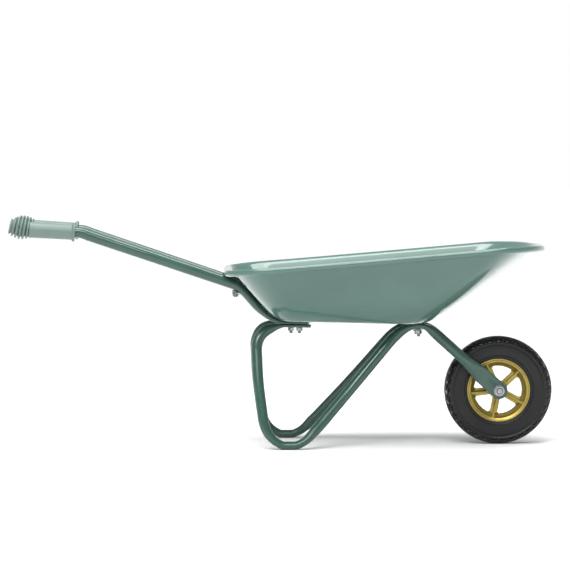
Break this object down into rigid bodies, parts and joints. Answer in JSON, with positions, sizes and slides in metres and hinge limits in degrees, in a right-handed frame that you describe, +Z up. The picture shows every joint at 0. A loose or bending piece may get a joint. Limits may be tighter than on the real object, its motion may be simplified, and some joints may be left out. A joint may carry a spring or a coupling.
{
  "type": "child's wheelbarrow",
  "caption": "Small steel wheelbarrow: pressed tray with rolled edge on bent tube legs that run into a wheel fork, tube handles with ribbed grips, and a spoked wheel with a black tyre.",
  "frame": {"origin": "on the ground under the middle of the whole barrow: half its length, on the centre line, at the height of the feet and of the tyre's contact", "axes": "+X toward the wheel, +Y to the left of someone pushing the barrow, +Z up"},
  "size_m": [0.803, 0.34, 0.3381],
  "materials": {
    "tray_paint": "sage green powder coat, satin gloss",
    "tube_paint": "darker green powder coat, glossy",
    "grip_plastic": "pale sage moulded plastic, matte",
    "zinc": "bright zinc plate",
    "wheel_gold": "olive gold paint on a moulded wheel, satin",
    "tyre": "black rubber, satin sidewall and treaded running surface",
    "wire": "plain drawn wire",
    "bush": "black nylon"
  },
  "bodies": {
    "barrow": {"tray": "tray_paint", "rim_wire": "wire", "handle_left": "tube_paint", "handle_right": "tube_paint", "grip_left": "grip_plastic", "grip_right": "grip_plastic", "leg_fork_left": "tube_paint", "leg_fork_right": "tube_paint", "wall_bolt_left": "zinc", "wall_bolt_right": "zinc", "wall_washer_left": "zinc", "wall_washer_right": "zinc", "wall_nut_left": "zinc", "wall_nut_right": "zinc", "floor_bolt_rear_left": "zinc", "floor_bolt_rear_right": "zinc", "floor_bolt_mid_left": "zinc", "floor_bolt_mid_right": "zinc", "floor_nut_rear_left": "zinc", "floor_nut_rear_right": "zinc", "floor_nut_mid_left": "zinc", "floor_nut_mid_right": "zinc", "fork_bolt_left": "zinc", "fork_bolt_right": "zinc", "fork_washer_left": "zinc", "fork_washer_right": "zinc", "fork_nut_left": "zinc", "fork_nut_right": "zinc", "axle_bolt": "zinc", "axle_nut": "zinc", "axle_washer_left": "zinc", "axle_washer_right": "zinc", "axle_spacer_left": "zinc", "axle_spacer_right": "zinc"},
    "wheel": {"wheel_rim": "wheel_gold", "tyre": "tyre", "hub_bush_left": "bush", "hub_bush_right": "bush"}
  },
  "joints": [
    {"name": "wheel_spin", "type": "hinge", "parent": "barrow", "child": "wheel", "pos_m": [0.32154, 0, 0.08], "axis": [0, 1, 0], "continuous": true}
  ]
}
